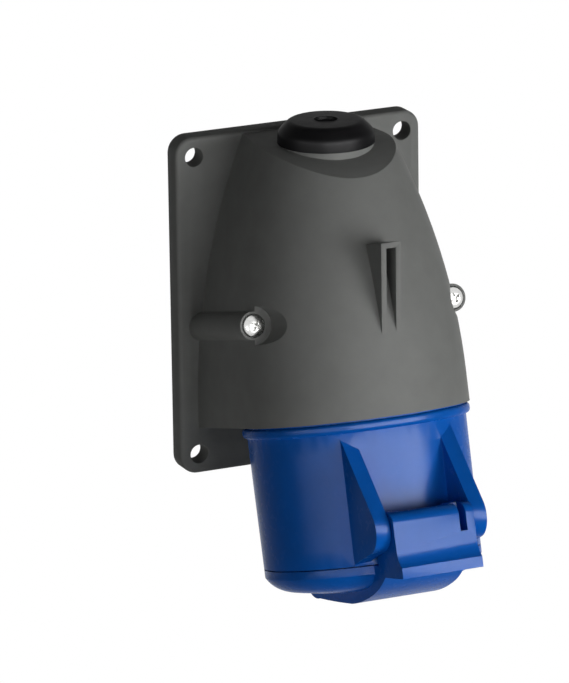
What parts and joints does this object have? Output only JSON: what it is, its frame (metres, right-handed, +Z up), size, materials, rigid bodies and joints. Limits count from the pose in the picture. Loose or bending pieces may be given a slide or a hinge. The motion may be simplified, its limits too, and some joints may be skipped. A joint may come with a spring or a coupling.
{
  "type": "industrial wall socket",
  "caption": "Surface-mounted industrial socket: charcoal hood on a wall plate, blue round socket angled down and closed by a sprung hinged lid, cord entry with a grommet on top.",
  "frame": {"origin": "centre of the four wall holes, on the wall plane", "axes": "+Z up, -Y out of the wall towards the viewer, +X to the right seen from the front"},
  "size_m": [0.0738, 0.0962, 0.1311],
  "materials": {
    "plate_plastic": "satin",
    "hood_plastic": "satin",
    "blue_plastic": "satin",
    "grommet_rubber": "matte",
    "seal_rubber": "matte",
    "screw_steel": "satin",
    "contact_brass": "satin",
    "carrier_plastic": "matte",
    "ring_plastic": "matte"
  },
  "bodies": {
    "socket_body": {"back_plate": "plate_plastic", "hood_gasket": "seal_rubber", "hood": "hood_plastic", "cable_grommet": "grommet_rubber", "cover_screws": "screw_steel", "cover_screw_seals": "seal_rubber", "plate_inserts": "contact_brass", "socket_housing": "blue_plastic", "socket_gasket": "seal_rubber", "lock_ring": "ring_plastic", "contact_block": "carrier_plastic", "terminal_base": "carrier_plastic", "earth_contact": "contact_brass", "line_contact": "contact_brass", "neutral_contact": "contact_brass", "contact_clips": "screw_steel", "terminal_screws": "screw_steel", "wire_clamps": "screw_steel", "hinge_pin": "screw_steel", "lid_spring": "screw_steel"},
    "lid_body": {"lid": "blue_plastic", "lid_gasket": "seal_rubber"}
  },
  "joints": [
    {"name": "lid_hinge", "type": "hinge", "parent": "socket_body", "child": "lid_body", "pos_m": [0, -0.08304, -0.04437], "axis": [-1, 0, 0], "range_deg": [0, 110], "stiffness_Nm_per_rad": 0.04, "springref_deg": -85.94, "deforming": ["lid_spring"]}
  ]
}
